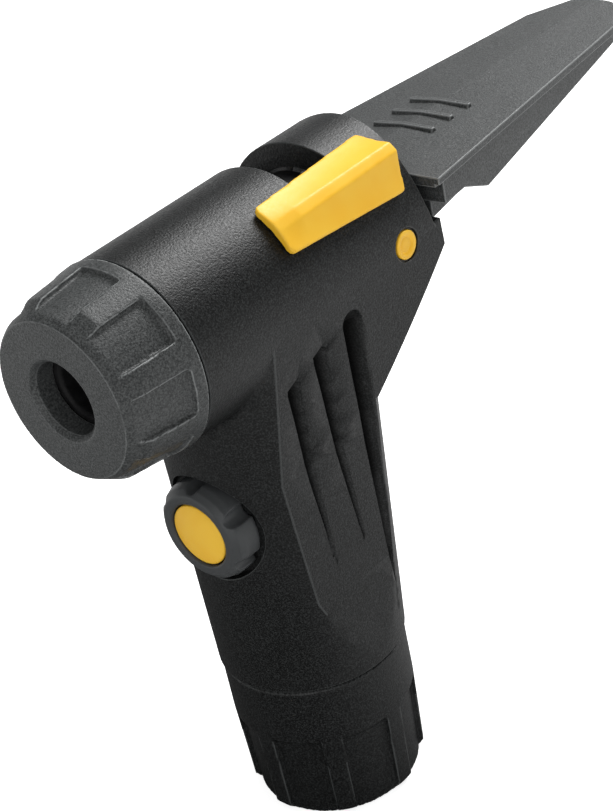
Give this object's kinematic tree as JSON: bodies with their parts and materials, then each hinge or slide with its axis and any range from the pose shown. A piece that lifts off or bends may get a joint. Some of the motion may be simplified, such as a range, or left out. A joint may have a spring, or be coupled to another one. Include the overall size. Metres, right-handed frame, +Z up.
{
  "type": "lever lock inflator head",
  "caption": "Hand-held tyre inflator head with a ribbed valve cap, a fold-down lock lever, a yellow selector tab, a bleed button and a ribbed hose collar.",
  "frame": {"origin": "centre of the hose hole at the bottom face of the hose collar", "axes": "+Z up the stem's axis towards the barrel, +X along the barrel towards the tyre valve, +Y to the side that carries the selector tab at rest"},
  "size_m": [0.1269, 0.0328, 0.0987],
  "materials": {
    "body_plastic": "fine grained moulding, near black",
    "cap_plastic": "fine grained moulding, dark grey",
    "bezel_plastic": "smooth satin, dark grey",
    "yellow_plastic": "satin gloss, warm yellow",
    "ring_plastic": "smooth satin, black",
    "seal_plastic": "smooth, off white",
    "rubber": "matte black",
    "brass": "machined",
    "steel": "plain"
  },
  "bodies": {
    "housing": {"body": "body_plastic", "valve_seal": "rubber", "selector_stop_pin": "steel", "lever_pin": "yellow_plastic", "bleed_bezel": "bezel_plastic", "bleed_bezel_oring": "rubber", "hose_fitting": "brass", "hose_fitting_oring": "rubber", "return_spring": "steel", "bleed_spring": "steel"},
    "cap": {"front_cap": "cap_plastic"},
    "piston": {"plunger": "seal_plastic", "plunger_oring_front": "rubber", "plunger_oring_rear": "rubber", "core_pin": "brass", "thrust_plate": "steel", "presta_seal": "rubber", "seal_washer": "seal_plastic"},
    "lock_lever": {"lever": "cap_plastic"},
    "selector": {"selector_ring": "ring_plastic", "selector_tab": "yellow_plastic"},
    "bleed": {"bleed_button": "yellow_plastic", "bleed_stem": "brass", "bleed_seal": "rubber"},
    "collar": {"hose_collar": "body_plastic", "hose_clamp_ring": "seal_plastic"}
  },
  "joints": [
    {"name": "lever_pivot", "type": "hinge", "parent": "housing", "child": "lock_lever", "pos_m": [-0.0204, 0, 0.08315], "axis": [0, -1, 0], "range_deg": [0, 75]},
    {"name": "piston_slide", "type": "slide", "parent": "housing", "child": "piston", "axis": [1, 0, 0], "range_m": [0, 0.0026], "deforming": ["valve_seal", "return_spring"]},
    {"name": "selector_turn", "type": "hinge", "parent": "housing", "child": "selector", "pos_m": [-0.01235, 0, 0.08385], "axis": [1, 0, 0], "range_deg": [0, 92]},
    {"name": "bleed_press", "type": "slide", "parent": "housing", "child": "bleed", "axis": [-1, 0, 0], "range_m": [0, 0.0016], "stiffness_N_per_m": 1500, "springref_m": -0.0005, "deforming": ["bleed_spring"]},
    {"name": "cap_turn", "type": "hinge", "parent": "housing", "child": "cap", "pos_m": [0.025, 0, 0.08385], "axis": [1, 0, 0], "continuous": true},
    {"name": "collar_turn", "type": "hinge", "parent": "housing", "child": "collar", "pos_m": [0, 0, 0.012], "axis": [0, 0, 1], "continuous": true}
  ],
  "couplings": [
    {"joint": "piston_slide", "follows": "lever_pivot", "m_per_rad": 0.001986}
  ]
}
